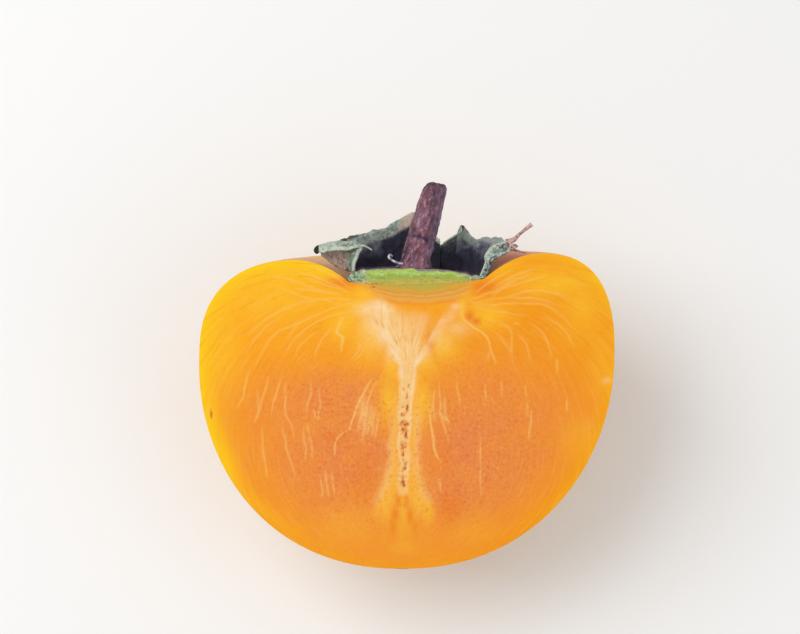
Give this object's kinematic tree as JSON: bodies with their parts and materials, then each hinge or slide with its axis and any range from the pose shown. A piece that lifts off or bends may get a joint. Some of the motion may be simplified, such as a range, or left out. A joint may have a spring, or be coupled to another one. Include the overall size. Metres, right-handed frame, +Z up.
{
  "type": "persimmon half",
  "caption": "Fuyu-type persimmon cut in half beside its woody stem, with dry curled calyx sepals and the cut flesh showing, lying on its round back.",
  "frame": {"origin": "middle of the small flat spot on the round back, on which the half rests", "axes": "+Z up, with the cut face tilted 17 degrees from level; +X across the fruit's width, to the right of the cut face; +Y towards the stem end"},
  "size_m": [0.076, 0.0689, 0.0468],
  "materials": {
    "flesh_and_skin": "satin",
    "calyx_flesh": "satin",
    "dry_sepal": "matte",
    "bark": "matte",
    "dry_scale": "matte"
  },
  "bodies": {
    "root": {"fruit_half": "flesh_and_skin", "calyx_disc": "calyx_flesh", "sepal_left": "dry_sepal", "sepal_back_left": "dry_sepal", "sepal_back_right": "dry_sepal", "sepal_right": "dry_sepal", "stem": "bark", "stem_scale": "dry_scale"}
  },
  "joints": []
}
